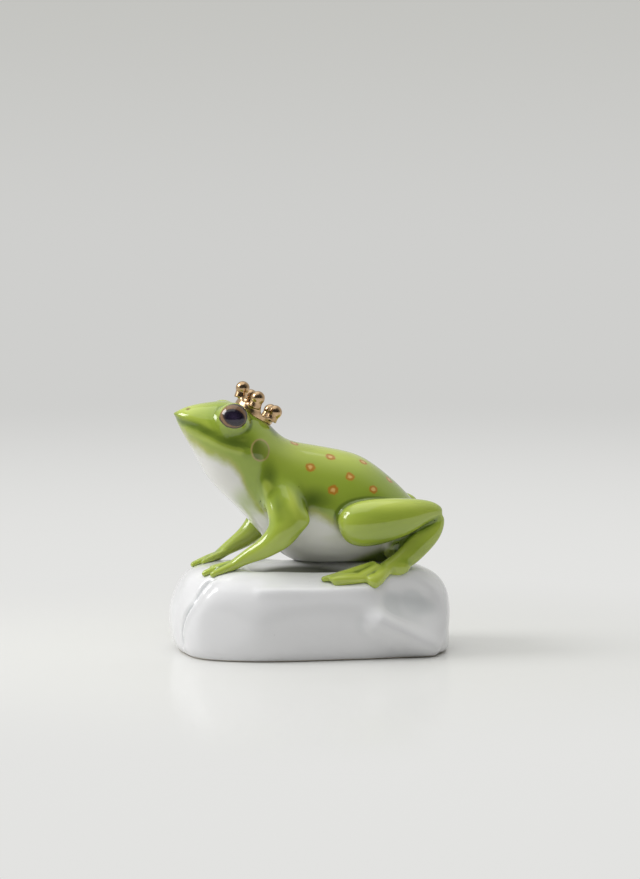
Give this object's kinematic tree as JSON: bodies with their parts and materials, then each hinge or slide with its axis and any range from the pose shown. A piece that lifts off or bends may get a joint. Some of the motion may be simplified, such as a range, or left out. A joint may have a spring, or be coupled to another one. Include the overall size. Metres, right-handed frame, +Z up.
{
  "type": "frog figurine",
  "caption": "Glazed porcelain frog in a small gilt crown, sitting with its head raised on a lumpy white rock base; stands free as an ornament.",
  "frame": {"origin": "middle of the rock's flat foot, on the surface that it stands on", "axes": "+Z up; the frog looks towards -X; its left side is towards -Y"},
  "size_m": [0.0911, 0.0621, 0.0887],
  "materials": {
    "white_glaze": "clear gloss glaze over white porcelain",
    "green_glaze": "airbrushed green under clear gloss glaze, white belly, ringed orange spots",
    "gilt": "burnished gold lustre over glaze",
    "eye_glaze": "dark brown ring and black pupil under gloss glaze",
    "ear_glaze": "green with a tan rim under gloss glaze"
  },
  "bodies": {
    "root": {"rock_base": "white_glaze", "trunk": "green_glaze", "head": "green_glaze", "foreleg_left": "green_glaze", "foreleg_right": "green_glaze", "hind_leg_left": "green_glaze", "hind_leg_right": "green_glaze", "hind_foot_left": "green_glaze", "hind_foot_right": "green_glaze", "crown_band": "gilt", "crown_prong_1": "gilt", "crown_prong_2": "gilt", "crown_prong_3": "gilt", "crown_prong_4": "gilt", "crown_prong_5": "gilt", "eye_left": "eye_glaze", "eye_right": "eye_glaze", "tympanum_left": "ear_glaze", "tympanum_right": "ear_glaze"}
  },
  "joints": []
}
